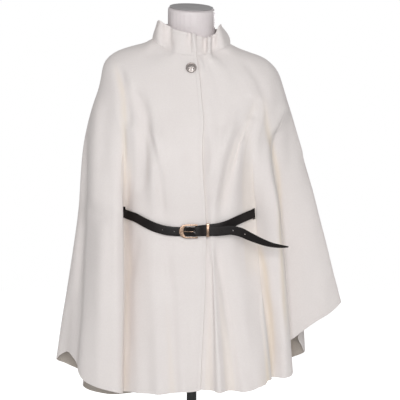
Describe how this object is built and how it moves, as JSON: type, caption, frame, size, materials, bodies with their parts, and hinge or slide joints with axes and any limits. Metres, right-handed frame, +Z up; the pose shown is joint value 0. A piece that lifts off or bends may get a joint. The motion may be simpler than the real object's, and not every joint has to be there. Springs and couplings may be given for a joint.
{
  "type": "cape on a dress form with its stand",
  "caption": "Short ivory wool cape with a stand collar and a leather belt through slits in its fronts, on a limbless dress form and round stand.",
  "frame": {"origin": "on the floor, under the middle of the stand's pole", "axes": "+Z up, -Y the way the wearer faces, +X towards the wearer's left"},
  "size_m": [0.6606, 0.36, 1.5075],
  "materials": {
    "front_right": "felted ivory wool with a short matt nap",
    "front_left": "felted ivory wool with a short matt nap",
    "back": "felted ivory wool with a short matt nap",
    "collar": "felted ivory wool, doubled",
    "form_torso": "smooth gloss white with a faint grey-pink cast",
    "stand_flange": "satin black paint",
    "stand_pole": "satin black paint",
    "stand_base": "satin black paint",
    "belt_strap": "smooth black leather, semi-gloss",
    "belt_buckle": "polished pale gold plating",
    "belt_prong": "polished pale gold plating",
    "belt_keeper": "polished pale gold plating",
    "button": "polished silver with a darkened rim"
  },
  "bodies": {
    "root": {"front_right": "front_right", "front_left": "front_left", "back": "back", "collar": "collar", "form_torso": "form_torso", "stand_flange": "stand_flange", "stand_pole": "stand_pole", "stand_base": "stand_base", "belt_strap": "belt_strap", "belt_buckle": "belt_buckle", "belt_prong": "belt_prong", "belt_keeper": "belt_keeper", "button": "button"}
  },
  "joints": []
}
